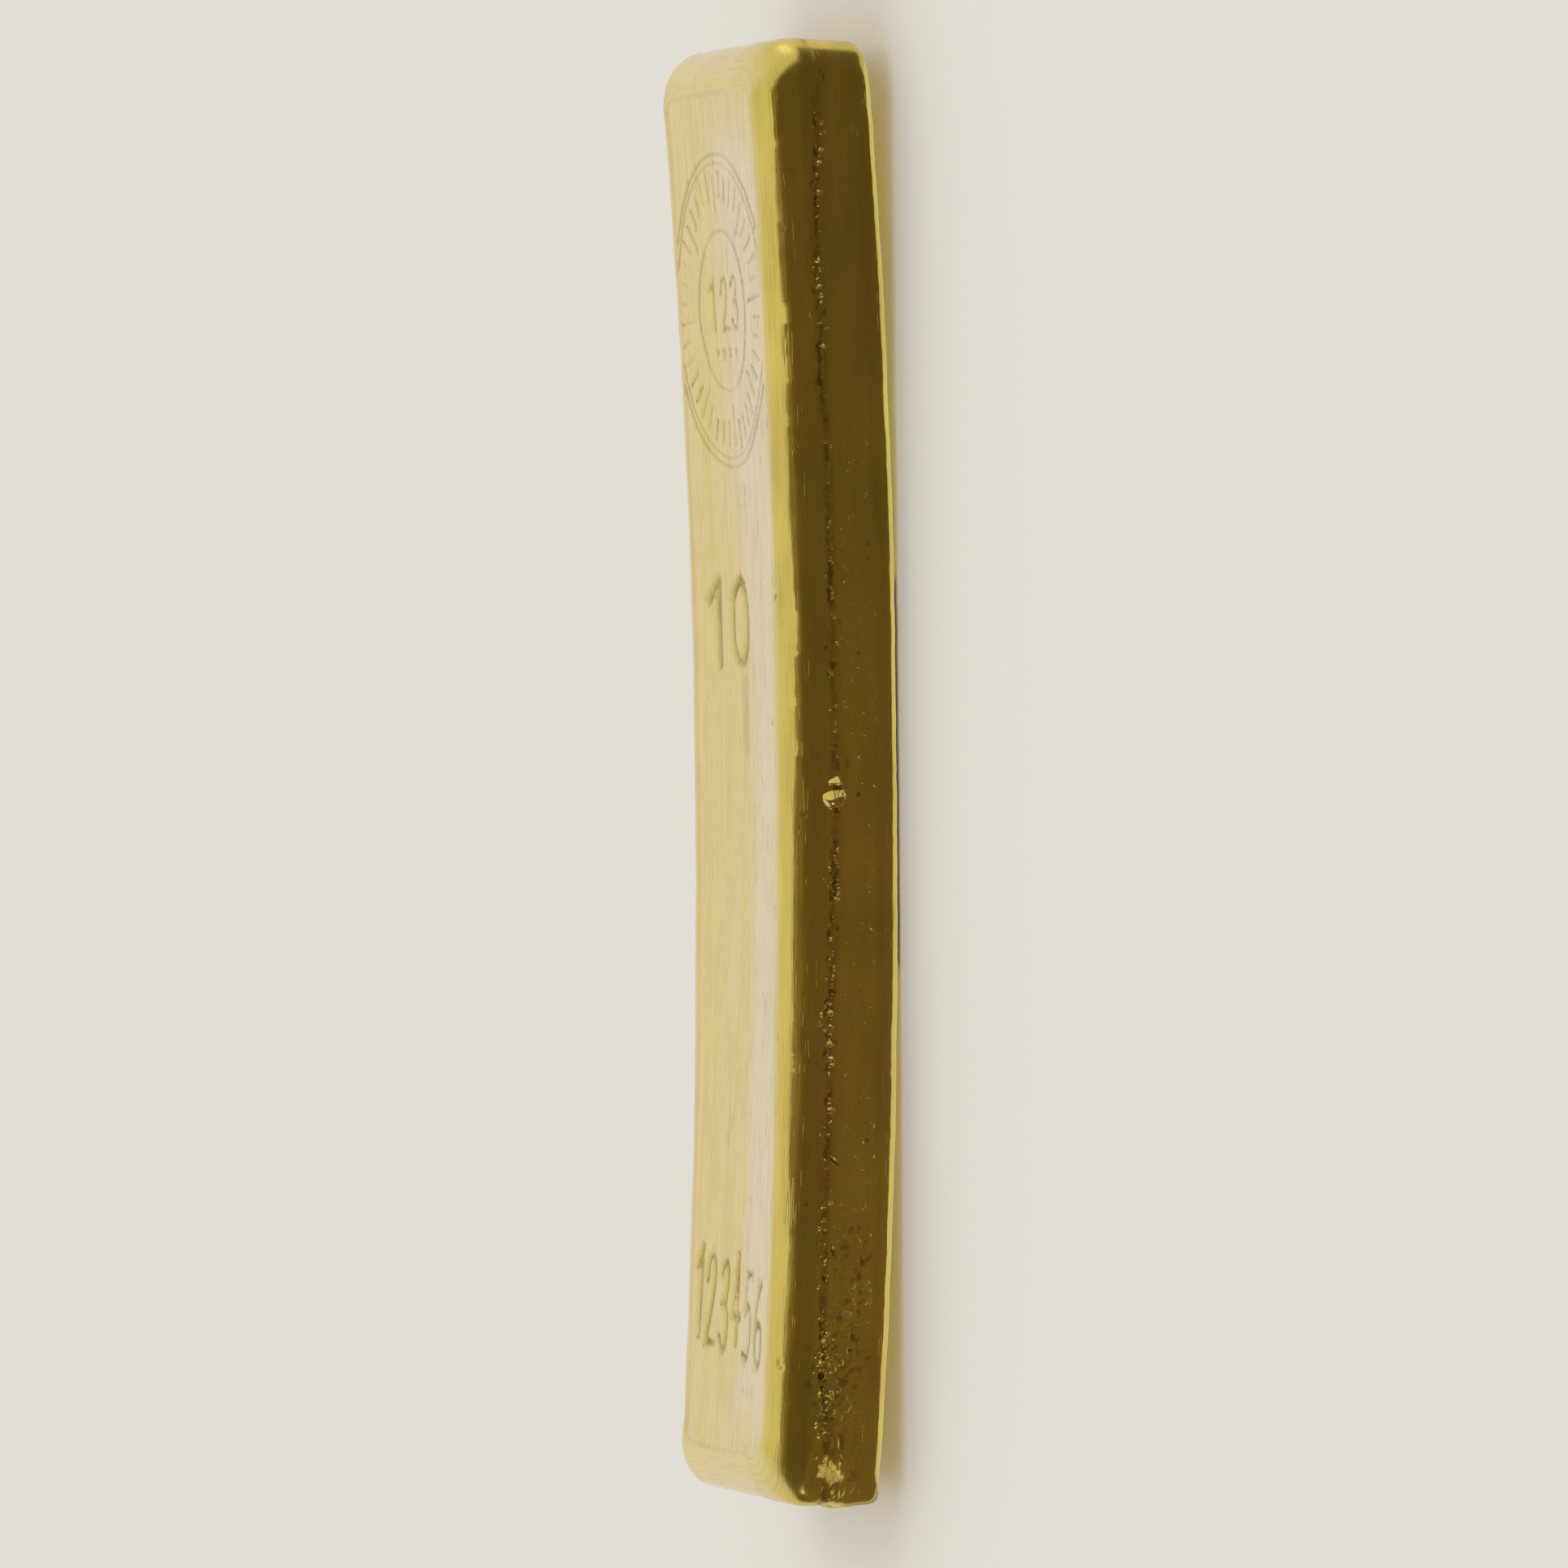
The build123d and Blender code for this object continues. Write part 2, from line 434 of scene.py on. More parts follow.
# Strewn ticks: from and to, height and its spread, and how many
FLECKS = (
    ((-46, 28), (-3.2, 0.9), 46), ((28, 72), (-2.8, 1.2), 12), ((-66, -46), (-3, 1.2), 60),
    ((-72, -63), (-2.2, 1), 40), ((-76.5, -70), (-1.2, 1.2), 60), ((-70.5, -68.5), (-2.9, 0.4), 12),
)


def crumbs(details, rng, count, places, heights, size, amount, stretch):
    """Humps and dark hollows strewn over a patch of the wall."""
    for _ in range(count):
        wide = rng.uniform(*size)
        high = rng.uniform(*amount)
        details.add(
            rng.uniform(*places), rng.normal(*heights), wide * rng.uniform(1, stretch), wide, high,
            rng.uniform(-1.5, 1.5), 0.6 * (high < amount[0] / 2),
        )


def wall_details(details, rng):
    """Beaten flats of the rim, single nicks, the crumbly patches and the hammered pour corner."""
    turn = np.interp(details.around, *zip(*RIM_TURNS), RIM_LEVEL, RIM_LEVEL)
    off = details.height - turn
    details.relief += (turn - RIM_LEVEL) / 5 * off * bell(off, 1.5)
    for place, long, deep in RIM_FLATS:
        details.flat(place, 4.7, long, 1.5, -deep)
        details.flat(place + rng.uniform(-0.2, 0.2) * long, 5.0, long * 0.55, 1.1, -0.4 * deep)
    for place, height, long, wide, deep, angle in NICKS:
        details.add(place, height, long, wide, -deep, angle, 1.0)
    crumbs(details, rng, 110, (-68, -50), (-3.2, 1.1), (0.22, 0.36), (-0.07, 0.10), 2.2)
    crumbs(details, rng, 200, (-76.5, -62), (-1.4, 1.3), (0.22, 0.40), (-0.12, 0.18), 1.7)
    crumbs(details, rng, 60, (-30, 34), (-3.0, 1.3), (0.2, 0.3), (-0.02, 0.07), 2.4)
    for places, heights, count in FLECKS:
        for _ in range(count):
            details.tick(
                rng.uniform(*places), rng.normal(*heights), rng.uniform(0.15, 0.4), rng.uniform(0.16, 0.24),
                rng.uniform(-1.2, 1.2), 0.3,
            )

    # Long shallow dent in the rim, sharper lower end of the near pour corner, and the stub round it
    details.add(70.9, 2.66, 2.35, 0.45, -0.13, -0.17)
    pour_corner, stub, stub_height = -81.3, -85.2, -4.3
    sharp = smooth(-2.0, -4.5, details.height) * bell(details.around - pour_corner, 1.1)
    details.relief += 0.55 * sharp
    at = details.near(stub, 4)
    ragged = 0.25 * np.sin(details.around[at] * 3.1) + 0.15 * np.sin(details.around[at] * 7.7)
    long = 1 - smooth(2.2, 3.3, np.abs(details.around[at] - stub))
    tall = 1 - smooth(0.9, 1.5, np.abs(details.height[at] - stub_height - ragged))
    details.relief[at] += (0.66 + 0.12 * ragged) * long * tall


def hammered(points, height):
    """The points with a flat beaten into the near pour corner, low on the wall, and how beaten each is."""
    turn, tip, corner = radians(22), radians(13), (-76.9, -20.05, 8.45)
    out = np.array([-sin(turn) * cos(tip), -cos(turn) * cos(tip), sin(tip)])
    proud = np.maximum((points - corner) @ out, 0)
    ragged = 0.10 * np.sin(points[:, 0] * 3.1 + 1) + 0.08 * np.sin(height * 4.3)
    along, across = np.abs(points[:, 0] + 77.1) / 2.25, np.abs(height + 2.0) / 2.5
    reach = along**1.5 + across**1.5 + ragged
    hold = smooth(1.25, 0.85, reach) * (points[:, 1] < -15)
    return points - out * (proud * hold)[:, None], hold


def bead(details):
    """The bead on the near casting line: a drop with a steep shoulder, a neck and a drawn-out tip."""
    place, height, radius = -2.75, -0.33, 1.32
    neck_foot, neck_half = 1.34, 0.82
    at = details.near(place, 3.4)
    du, dv = details.around[at] - place, details.height[at] - height
    ball = np.sqrt(np.maximum(radius**2 - du**2 - dv**2, 0))
    slope = np.maximum(du + 0.1, 0)
    shoulder = np.minimum(1.9 * ball, 0.66 - 0.55 * slope - 0.05 * slope**2 - 0.28 * dv)
    front = smooth(-0.45, -0.05, du)
    drop = shoulder * front + 0.62 * ball * (1 - front)
    past = np.where(du > neck_foot, du - neck_foot, 9.0)
    neck = (0.62 - 0.7 * past - 0.32 * dv) * (np.abs(dv + 0.05) < neck_half - 0.35 * past)
    shape = np.maximum(drop, neck)
    details.relief[at] = np.where(shape > 0, shape, details.relief[at])
    details.dirt[at] *= shape <= 0
    details.polished[at] = shape > 0


def strip(bar, columns, marks):
    """Rows of points from the edge of the face, over the meniscus and down the wall, to the back.

    Each row has a level: the number of times that its columns are halved.
    """
    line = CastingLine(columns, marks.seed)
    x = columns.outer[:, 0]
    bow, back = bar.bow(x), bar.back(x)
    top = bar.meniscus * pi / 2
    brow, band, fine = 1.6, 1.35, 0.15
    drop = bar.line_height + bow - back - bar.back_edge
    rows = [(top - brow * t, 2, 0.0) for t in np.linspace(0, 1, 5)[:-1]]
    for t in np.linspace(0, 1, 14)[:-1]:
        rows.append(((top - brow) * (1 - t) + (line.centre + band) * t, 1, 0.0))
    rows += [(line.centre + band - k * fine, 0, 0.0) for k in range(round(2 * band / fine) + 1)]
    rows += [((line.centre - band) * (1 - t) - drop * t, 1, 0.0) for t in np.linspace(0, 1, 27)[1:]]
    folds = np.linspace(0, pi / 2, 8)[1:]
    rows += [(-drop, 2 if fold == folds[-1] else 1, fold) for fold in folds]
    out = -columns.inward / np.linalg.norm(columns.inward, axis=1)[:, None]
    points, grain, normals = [], [], []
    for height, level, fold in rows:
        height = np.broadcast_to(height, x.shape)
        rise = np.clip(height / bar.meniscus, 0, pi / 2)
        inset = bar.meniscus * (1 - np.cos(rise)) + np.maximum(-height, 0) * tan(bar.DRAFT)
        inset = inset + bar.back_edge * (1 - cos(fold)) - bow * tan(bar.DRAFT)
        z = bar.line_height + bow + np.where(height > 0, bar.meniscus * np.sin(rise), height)
        z = z - bar.back_edge * sin(fold)
        plan = columns.outer + columns.inward * inset[:, None]
        slope = np.where(height > 0, rise, -bar.DRAFT) if fold == 0 else np.full_like(x, -fold)
        normal = np.column_stack([out * np.cos(slope)[:, None], np.sin(slope)])
        normal[:, 0] -= bar.bow_rise * 2 * x / (bar.length / 2) ** 2 * np.sin(slope)
        take = slice(None, None, 2**level)
        points.append(np.column_stack([plan, z])[take])
        grain.append(np.column_stack([columns.around, height - bar.back_edge * fold])[take])
        normals.append(normal[take])
    return line, points, grain, normals


def bridge(upper, lower):
    """Faces between two closed rows of vertex numbers, where one may have twice as many as the other."""
    m, n = len(upper), len(lower)
    if m < n:
        return [face[::-1] for face in bridge(lower, upper)]
    if m == n:
        return [(upper[k], lower[k], lower[(k + 1) % m], upper[(k + 1) % m]) for k in range(m)]
    faces = []
    for k in range(n):
        a, b, c = upper[2 * k], upper[2 * k + 1], upper[(2 * k + 2) % m]
        p, q = lower[k], lower[(k + 1) % n]
        faces += [(a, p, b), (b, p, q), (b, q, c)]
    return faces


# Punched marks

# Strokes of each digit, in a box 0.6 wide and 1 high
DIGITS = {
    "0": [[(0.3, 1), (0.08, 0.86), (0.02, 0.5), (0.08, 0.14), (0.3, 0), (0.52, 0.14), (0.58, 0.5),
           (0.52, 0.86), (0.3, 1)]],
    "1": [[(0.08, 0.78), (0.36, 1)], [(0.36, 1), (0.36, 0)]],
    "2": [[(0.04, 0.76), (0.12, 0.97), (0.36, 1.03), (0.56, 0.88), (0.52, 0.62), (0.02, 0)],
          [(0.02, 0), (0.6, 0)]],
    "3": [[(0.04, 0.88), (0.2, 1.02), (0.44, 1), (0.54, 0.8), (0.44, 0.58), (0.22, 0.54)],
          [(0.22, 0.54), (0.5, 0.5), (0.6, 0.26), (0.46, 0.02), (0.2, -0.02), (0.02, 0.14)]],
    "4": [[(0.44, 0), (0.44, 1)], [(0.44, 1), (0, 0.3)], [(0, 0.3), (0.6, 0.3)]],
    "5": [[(0.54, 1), (0.1, 1)], [(0.1, 1), (0.06, 0.56)],
          [(0.06, 0.56), (0.34, 0.66), (0.56, 0.5), (0.56, 0.18), (0.36, 0), (0.02, 0.08)]],
    "6": [[(0.5, 0.98), (0.22, 0.8), (0.04, 0.46), (0.06, 0.12), (0.3, -0.02), (0.54, 0.12), (0.56, 0.36),
           (0.36, 0.54), (0.1, 0.42)]],
}


def rounded(points):
    """A stroke with its inner corners cut twice, so that it reads as a curve."""
    points = np.array(points, float)
    for _ in range(2 if len(points) > 2 else 0):
        quarter, three = points[:-1] * 0.75 + points[1:] * 0.25, points[:-1] * 0.25 + points[1:] * 0.75
        cut = np.stack([quarter, three], 1).reshape(-1, 2)
        points = np.vstack([points[:1], cut[1:-1], points[-1:]])
    return points


def digit_strokes(digit, place, height, width, lean=0.0):
    """Strokes of a digit whose foot is nearest the pour end and which reads towards the near side."""
    strokes = []
    for points in DIGITS[digit]:
        unit = rounded(points)
        across = (unit[:, 0] - 0.3) * width / 0.6 + lean * unit[:, 1]
        strokes.append(np.column_stack([place[0] + (unit[:, 1] - 0.5) * height, place[1] - across]))
    return strokes


def circle_stroke(place, radius, step=0.55):
    """A closed round stroke."""
    count = max(int(2 * pi * radius / step), 3)
    angle = np.linspace(0, 2 * pi, count + 1)
    return np.column_stack([place[0] + radius * np.cos(angle), place[1] + radius * np.sin(angle)])


# Digit, place across and along, and lean
PUNCHED_ROW = (
    ("1", 10.9, -58.2, 0.3), ("2", 6.7, -59.0, -0.24), ("3", 2.1, -59.6, 0.18), ("4", -2.6, -58.6, -0.12),
    ("5", -7.6, -60.4, 0.3), ("6", -12.4, -60.9, -0.3),
)


def punched_strokes(marks):
    """All strokes of the face as (points, half width, depth)."""
    tall, deep, ring = marks.number_height / MM, marks.punch_depth / MM, marks.ring_radius / MM
    centre = (51.2, -0.3)
    rings = ((ring, 0.20, 0.7), (ring - 1.0, 0.16, 0.5), (ring / 2 + 0.2, 0.20, 0.55))
    strokes = [(circle_stroke(centre, radius), half, deep * share) for radius, half, share in rings]
    rng = np.random.default_rng(5)
    rays, short_by = 40, 2.0
    for k in range(rays):
        angle = 2 * pi * (k + 0.5) / rays
        inner, outer = 10.6 + rng.uniform(0, 0.5), ring - 2.1 - rng.uniform(0, 0.6)
        if k % 5:
            inner += short_by
        ray = np.array([cos(angle), sin(angle)])
        points = np.array([centre + ray * r for r in np.linspace(inner, outer, 6)])
        strokes.append((points, 0.30, deep * rng.uniform(0.35, 0.9)))
    for k, digit in enumerate("123"):
        for points in digit_strokes(digit, (centre[0] + 0.8, centre[1] + 4.2 - 4.2 * k), 5.6, 2.6):
            strokes.append((points, 0.36, deep))
    for k in range(4):
        spot = (centre[0] - 4.6, centre[1] + 3.6 - 2.4 * k)
        strokes.append((circle_stroke(spot, 0.25, 0.3), 0.3, deep * 0.8))
    for k, digit in enumerate("10"):
        for points in digit_strokes(digit, (16.5, 7.8 - 8.2 * k), tall, 6.4):
            strokes.append((points, 0.72, deep * 1.5))
    for digit, y, x, lean in PUNCHED_ROW:
        for points in digit_strokes(digit, (x, y), tall, 2.9, lean):
            strokes.append((points, 0.52, deep * 1.5))
    return strokes


def resample(points, step):
    """The same stroke with points about one step apart."""
    lengths = np.linalg.norm(np.diff(points, axis=0), axis=1)
    along = np.concatenate([[0], np.cumsum(lengths)])
    count = max(int(round(along[-1] / step)), 1)
    at = np.linspace(0, along[-1], count + 1)
    return np.column_stack([np.interp(at, along, points[:, 0]), np.interp(at, along, points[:, 1])])


def stroke_points(points, offsets):
    """Points beside a stroke, at each of the offsets from it."""
    ahead = np.gradient(points, axis=0)
    ahead /= np.maximum(np.linalg.norm(ahead, axis=1), 1e-9)[:, None]
    left = np.column_stack([-ahead[:, 1], ahead[:, 0]])
    return np.vstack([points + left * k for k in offsets])


def distance_to(stroke, places):
    """Distance of each place from the nearest point of a stroke."""
    best = np.full(len(places), 1e9)
    for a, b in zip(stroke[:-1], stroke[1:]):
        ab = b - a
        t = np.clip(((places - a) @ ab) / max(ab @ ab, 1e-12), 0, 1)
        best = np.minimum(best, np.linalg.norm(places - a - t[:, None] * ab, axis=1))
    return best


def punch(places, strokes):
    """Depth of the punched marks at each place of the face, and how deep in a mark it is from 0 to 1."""
    margin, full_depth = 1.2, 0.38
    relief, inside = np.zeros(len(places)), np.zeros(len(places))
    for points, half, deep in strokes:
        low, high = points.min(0) - margin, points.max(0) + margin
        at = np.flatnonzero(np.all((places > low) & (places < high), axis=1))
        if not len(at):
            continue
        gap = distance_to(points, places[at])
        cut = 1 - smooth(half * 0.35, half * 1.25, gap)
        burr = bell(gap - half * 1.7, half * 0.55) * 0.16
        relief[at] = np.minimum(relief[at], -deep * cut) + deep * burr * (relief[at] >= 0)
        inside[at] = np.maximum(inside[at], cut * min(deep / full_depth, 1.0))
    return relief, inside


def hexagon_grid(low, high, step):
    """Evenly spread places in a box, in staggered rows."""
    row_step = 0.866
    rows = np.arange(low[1], high[1], step * row_step)
    columns = np.arange(low[0], high[0], step)
    return np.array([(x + (k % 2) * step / 2, y) for k, y in enumerate(rows) for x in columns])


def from_loop(places, loop):
    """How far each place lies inside a closed convex loop."""
    ahead = np.roll(loop, -1, 0) - loop
    left = np.column_stack([-ahead[:, 1], ahead[:, 0]]) / np.linalg.norm(ahead, axis=1)[:, None]
    return np.array([((places - a) @ n) for a, n in zip(loop[::4], left[::4])]).min(0)


def thinned(points, gap):
    """The points, without those that fall within a gap of an earlier one."""
    kept, cells = [], {}
    for k, (x, y) in enumerate(points.tolist()):
        cell = (int(x // gap), int(y // gap))
        close = (cells.get((cell[0] + i, cell[1] + j)) for i in (-1, 0, 1) for j in (-1, 0, 1))
        if all(hypot(x - points[c][0], y - points[c][1]) >= gap for cs in close if cs for c in cs):
            cells.setdefault(cell, []).append(k)
            kept.append(k)
    return points[kept]


def filled(loop, places):
    """Triangles of the region inside a loop, through the loop and the places, numbered as the loop and then
    the places.
    """
    points = [Vector(p) for p in loop.tolist() + places.tolist()]
    edges = [(k, (k + 1) % len(loop)) for k in range(len(loop))]
    out, _, faces, origins, _, _ = geometry.delaunay_2d_cdt(points, edges, [], 1, 1e-7)
    if len(out) != len(points) or any(o[0] != k for k, o in enumerate(origins)):
        raise RuntimeError("the face was not filled point for point")
    return faces


# Upper edge of the rim, as a height along the wrapped surface, and half of the face's width inside it
RIM_TOP, FACE_HALF = 7.85, 15.55


def cast_skin(line, points, normal, grain, seed):
    """Rim and walls with their details, groove, bead and slow swell: the points, and what lies on them."""
    around, height = grain.T
    off = height - line_height(around)
    rng = np.random.default_rng(seed)
    details = Details(around, height)
    line_details(details, rng)
    wall_details(details, rng)
    depth = line.groove(around, off)
    details.relief -= depth
    details.dirt = np.maximum(details.dirt, 0.95 * np.clip(depth / 0.15, 0, 1) ** 1.3)
    halo = bell(off + 0.1, 0.55) * (0.45 + 0.7 * lumps(points * (1, 1, 1.6), 1.3, 12))
    details.dirt = np.maximum(details.dirt, 0.55 * np.clip(halo, 0, 1))
    bead(details)
    rim = smooth(1.5, 3.0, height) * (1 - smooth(6.6, 7.8, height))
    swell = waves(points, (0.055, 15.0, 1), (0.040, 5.5, 2), (0.010, 1.7, 3))
    swell += rim * 0.045 * lumps(points, 3.2, 4)
    swell += bell(height + 7.8, 0.8) * waves(points, (0.07, 3.4, 6), (0.05, 1.3, 8))
    hold = smooth(RIM_TOP, 7.0, height) * smooth(-9.2, -8.2, height)
    points, beaten = hammered(points + normal * ((swell + details.relief) * hold)[:, None], height)
    details.dirt *= (1 - 0.85 * beaten) * hold
    return points, details


def skin_masks(points, details):
    """Masks of the finish on the rim and the walls, with a painted pale sheen on the upper rim and painted
    bands of light and shade on the wall.
    """
    around, height = details.around, details.height
    ends = smooth(75, 79, np.abs(around))
    edge = 5.4 - 4.0 * ends + 0.5 * lumps(points * (0.3, 1, 1), 2.5, 15)
    coarse = bell(height - line_height(around), 0.75) * (0.5 + 0.5 * lumps(points, 4.0, 9)).clip(0.15, 1)
    patch = smooth(-44, -54, around) * smooth(-81, -77, around) * smooth(-5.9, -4.6, height)
    patch *= smooth(0.6, -0.6, height)
    coarse = np.maximum(coarse, patch * (0.75 + 0.5 * lumps(points, 2.5, 10)))
    tone_and_shade = 0.5 + 0.30 * lumps(points, 9.0, 13) + 0.30 * lumps(points * (0.22, 1, 1), 1.5, 14)
    # Painted lighter band across the middle of the wall, and painted shade low on the wall
    tone_and_shade += 0.16 * bell(height + 3.2, 1.5) - 0.22 * bell(height + 5.9, 0.7)
    wall = smooth(-6.4, -5.2, height) * smooth(-0.6, -1.6, height)
    return {
        "dirt": details.dirt,
        "face": smooth(edge, edge + 4.2 + ends, height),
        # pale: painted pale sheen on the upper rim beside the face
        "pale": smooth(5.2, 7.8, height) * smooth(79, 67, np.abs(around)),
        "rough": coarse * (1 - details.polished),
        "wall": wall * smooth(60, 45, np.abs(around + 12)),
        "worn": smooth(74.5, 78.5, np.abs(around)) * smooth(92, 86, np.abs(around)),
        "tone_and_shade": tone_and_shade.clip(0, 1),
    }


def punched_face(bar, loop, marks):
    """The face inside a loop, with places beside the punched strokes and evenly spread between them.

    Gives its points, triangles and masks.
    """
    stroke_step, face_step, least_gap, margin = 0.42, 0.8, 0.24, 0.35
    strokes = [(resample(p, stroke_step), half, deep) for p, half, deep in punched_strokes(marks)]
    beside = [stroke_points(p, np.array([0, -1.0, 1.0, -2.0, 2.0]) * half) for p, half, _ in strokes]
    spread = hexagon_grid(loop.min(0), loop.max(0), face_step)
    places = thinned(np.vstack(beside + [spread]), least_gap)
    places = places[from_loop(places, loop) > margin]
    x, y = places.T
    within = from_loop(places, loop)
    relief, inside = punch(places, strokes)
    # Two soft grey streaks painted darker on the face; the first also sinks in a shallow dent
    grey_streak = distance_to(resample(np.array([(9.5, -2.2), (5.5, -2.0), (2.5, -2.1)]), 0.5), places)
    pour_side_streak = distance_to(resample(np.array([(-38.6, 2.2), (-41.0, 3.4)]), 0.5), places)
    relief -= 0.08 * smooth(1.9, 0.2, grey_streak)
    points = np.column_stack([places, bar.face(x, y)])
    uneven = waves(points, (0.05, 15.0, 1), (0.03, 5.5, 2), (0.012, 2.2, 5))
    points[:, 2] += relief + smooth(0.0, 1.2, within) * uneven
    # Painted pale sheen along the near edge of the face, wider towards the stamp end
    reach = within + 0.5 * lumps(points * (0.25, 1, 1), 3.0, 16)
    wider = 8 * smooth(4, 36, x)
    pale = smooth(14.0 + wider, 7.5 + wider / 3, reach) * smooth(-2 + wider, -8 + wider / 2, y)
    masks = {
        # Painted shade in the punched marks, by how deep in them
        "punched": inside,
        "face": np.maximum(smooth(5.4, 9.6, RIM_TOP + within), np.abs(x) > 70),
        "grey_streak": 0.6 * smooth(1.9, 0.0, grey_streak) + 0.35 * smooth(1.3, 0.1, pour_side_streak),
        "pale": pale * smooth(78, 66, np.abs(x)),
        "tone_and_shade": 0.5,
    }
    return points, filled(loop, places), masks


def plain_back(bar, loop):
    """The back inside a loop: its points, triangles and masks."""
    back_step, margin = 2.6, 1.2
    places = hexagon_grid(loop.min(0), loop.max(0), back_step)
    places = places[from_loop(places, loop) > margin]
    points = np.column_stack([places, bar.back(places[:, 0])])
    points[:, 2] += 0.05 * np.abs(lumps(points, 6.0, 7)) * smooth(8, 20, np.abs(points[:, 0]))
    return points, filled(loop, places), {"tone_and_shade": 0.5}


def build_bar(form, marks):
    """The whole bar as one closed mesh: points, faces, grain places and surface masks."""
    bar = Bar(form)
    line, rows, grain, normals = strip(bar, Columns(bar), marks)
    starts = np.cumsum([0] + [len(row) for row in rows])
    numbers = [np.arange(a, b) for a, b in zip(starts[:-1], starts[1:])]
    first, last = numbers[0], numbers[-1]
    grain = np.vstack(grain)
    skin, details = cast_skin(line, np.vstack(rows), np.vstack(normals), grain, marks.seed)
    skin[first, 2] = bar.face(skin[first, 0], skin[first, 1])
    face, face_triangles, face_masks = punched_face(bar, rows[0][:, :2], marks)
    back, back_triangles, back_masks = plain_back(bar, skin[last][:, :2])

    # One skin of faces, and all points kept just inside the box of the solid
    sizes = (len(skin), len(face), len(back))
    faces = []
    for upper, lower in zip(numbers[:-1], numbers[1:]):
        faces += bridge(upper.tolist(), lower.tolist())
    at = np.concatenate([first, sizes[0] + np.arange(sizes[1])]).tolist()
    faces += [tuple(at[k] for k in triangle) for triangle in face_triangles]
    at = np.concatenate([last, sizes[0] + sizes[1] + np.arange(sizes[2])]).tolist()
    faces += [tuple(at[k] for k in reversed(triangle)) for triangle in back_triangles]
    gap = 0.002
    low, high = (np.array(corner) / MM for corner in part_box("ingot"))
    points = np.clip(np.vstack([skin, face, back]), low + gap, high - gap)
    points[:, 2] = np.maximum(points[:, 2], 0)

    # Masks of the finish and of painted sheen and shade, 0 wherever a part of the bar does not give one
    given = (skin_masks(skin, details), face_masks, back_masks)
    masks = {}
    for name in ("dirt", "punched", "face", "grey_streak", "pale", "rough", "wall", "worn", "tone_and_shade"):
        values = [np.broadcast_to(part.get(name, 0.0), size) for part, size in zip(given, sizes)]
        masks[name] = np.concatenate(values)

    # Places for the grain: the face as it lies, the strip beside it, and the back further off
    back_off = 60
    lay = np.vstack([
        grain - (0, bar.meniscus * pi / 2 + FACE_HALF),
        face[:, :2],
        back[:, :2] * (1, -1) - (0, back_off),
    ])
    return points * MM, faces, lay, masks


def mesh_object(name, points, faces):
    """A smooth mesh object, put in the scene."""
    mesh = bpy.data.meshes.new(name)
    mesh.from_pydata(points.tolist(), [], faces)
    mesh.shade_smooth()
    thing = bpy.data.objects.new(name, mesh)
    bpy.context.scene.collection.objects.link(thing)
    return thing


# Shader maths


class Signal:
    """A socket of a shader tree that can be used in an expression."""

    def __init__(self, maker, socket):
        self.maker, self.socket = maker, socket

    def math(self, operation, *others, clamp=False):
        settings = {"operation": operation, "use_clamp": clamp}
        return self.maker.node("ShaderNodeMath", settings, dict(enumerate((self, *others))))

    def __add__(self, other):
        return self.math("ADD", other)

    def __sub__(self, other):
        return self.math("SUBTRACT", other)

    def __rsub__(self, other):
        return self.maker.node("ShaderNodeMath", {"operation": "SUBTRACT"}, {0: other, 1: self})

    def __mul__(self, other):
        return self.math("MULTIPLY", other)

    __radd__, __rmul__ = __add__, __mul__

    def held(self):
        """Kept between 0 and 1."""
        return self.math("ADD", 0.0, clamp=True)

    def threads(self, sharpness):
        """Thin lines of 1 where a noise crosses its middle, and 0 between them."""
        return (1.0 - (self - 0.5).math("ABSOLUTE") * sharpness).held()


